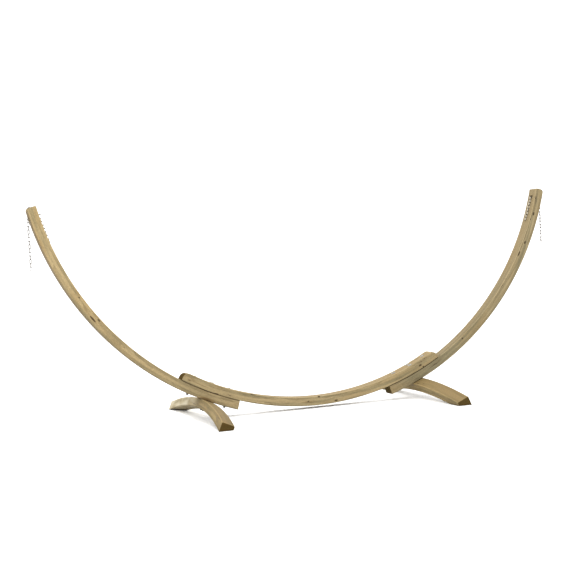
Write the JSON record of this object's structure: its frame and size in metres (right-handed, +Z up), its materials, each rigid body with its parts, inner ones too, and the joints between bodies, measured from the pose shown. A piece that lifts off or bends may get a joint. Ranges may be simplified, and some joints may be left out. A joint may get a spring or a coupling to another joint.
{
  "type": "hammock stand",
  "caption": "Arched timber hammock stand: a curved centre beam, two curved arms and two arched cross feet, bolted, with a chain through the top of each arm.",
  "frame": {"origin": "middle of the stand, on the ground", "axes": "+X along the stand towards the right arm, +Y across it, away from the front, +Z up"},
  "size_m": [4.0954, 1.41, 1.591],
  "materials": {
    "beam_timber": "planed, pressure treated, weathered, with knots and checks",
    "foot_timber": "planed, pressure treated, weathered, with knots and checks",
    "bolt_zinc": "zinc plated, dull",
    "chain_zinc": "zinc plated, bright"
  },
  "bodies": {
    "stand": {"centre_beam": "beam_timber", "right_arm": "beam_timber", "left_arm": "beam_timber", "right_foot": "foot_timber", "left_foot": "foot_timber", "right_lap_bolts": "bolt_zinc", "left_lap_bolts": "bolt_zinc", "right_lap_head_washers": "bolt_zinc", "left_lap_head_washers": "bolt_zinc", "right_lap_nut_washers": "bolt_zinc", "left_lap_nut_washers": "bolt_zinc", "right_lap_nuts": "bolt_zinc", "left_lap_nuts": "bolt_zinc", "right_foot_bolts": "bolt_zinc", "left_foot_bolts": "bolt_zinc", "right_foot_head_washers": "bolt_zinc", "left_foot_head_washers": "bolt_zinc", "right_foot_nut_washers": "bolt_zinc", "left_foot_nut_washers": "bolt_zinc", "right_foot_nuts": "bolt_zinc", "left_foot_nuts": "bolt_zinc", "right_chain_pin": "bolt_zinc", "left_chain_pin": "bolt_zinc", "right_pin_washer": "bolt_zinc", "left_pin_washer": "bolt_zinc", "right_through_links": "chain_zinc", "left_through_links": "chain_zinc"},
    "right_outer_link": {"right_outer_top_link": "chain_zinc"},
    "right_outer_upper": {"right_outer_upper_links": "chain_zinc"},
    "right_outer_lower": {"right_outer_lower_links": "chain_zinc"},
    "right_inner_link": {"right_inner_top_link": "chain_zinc"},
    "right_inner_run": {"right_inner_links": "chain_zinc", "right_hammock_link": "chain_zinc"},
    "left_outer_link": {"left_outer_top_link": "chain_zinc"},
    "left_outer_upper": {"left_outer_upper_links": "chain_zinc"},
    "left_outer_lower": {"left_outer_lower_links": "chain_zinc"},
    "left_inner_link": {"left_inner_top_link": "chain_zinc"},
    "left_inner_run": {"left_inner_links": "chain_zinc", "left_hammock_link": "chain_zinc"}
  },
  "joints": [
    {"name": "right_outer_swing", "type": "hinge", "parent": "stand", "child": "right_outer_link", "pos_m": [2.03925, 0, 1.50859], "axis": [0, -1, 0], "range_deg": [-8, 60]},
    {"name": "right_outer_sway", "type": "hinge", "parent": "right_outer_link", "child": "right_outer_upper", "pos_m": [2.03925, 0, 1.48309], "axis": [1, 0, 0], "range_deg": [-35, 35]},
    {"name": "right_outer_curl", "type": "hinge", "parent": "right_outer_upper", "child": "right_outer_lower", "pos_m": [2.03925, 0, 1.32359], "axis": [0, -1, 0], "range_deg": [-20, 50]},
    {"name": "right_inner_lift", "type": "hinge", "parent": "stand", "child": "right_inner_link", "pos_m": [1.95569, 0, 1.53094], "axis": [0, 1, 0], "range_deg": [0, 75]},
    {"name": "right_inner_bend", "type": "hinge", "parent": "right_inner_link", "child": "right_inner_run", "pos_m": [1.95435, 0, 1.51199], "axis": [0, 1, 0], "range_deg": [0, 60]},
    {"name": "left_outer_swing", "type": "hinge", "parent": "stand", "child": "left_outer_link", "pos_m": [-2.03925, 0, 1.50859], "axis": [0, 1, 0], "range_deg": [-8, 60]},
    {"name": "left_outer_sway", "type": "hinge", "parent": "left_outer_link", "child": "left_outer_upper", "pos_m": [-2.03925, 0, 1.48309], "axis": [-1, 0, 0], "range_deg": [-35, 35]},
    {"name": "left_outer_curl", "type": "hinge", "parent": "left_outer_upper", "child": "left_outer_lower", "pos_m": [-2.03925, 0, 1.32359], "axis": [0, 1, 0], "range_deg": [-20, 50]},
    {"name": "left_inner_lift", "type": "hinge", "parent": "stand", "child": "left_inner_link", "pos_m": [-1.95569, 0, 1.53094], "axis": [0, -1, 0], "range_deg": [0, 75]},
    {"name": "left_inner_bend", "type": "hinge", "parent": "left_inner_link", "child": "left_inner_run", "pos_m": [-1.95435, 0, 1.51199], "axis": [0, -1, 0], "range_deg": [0, 60]}
  ]
}
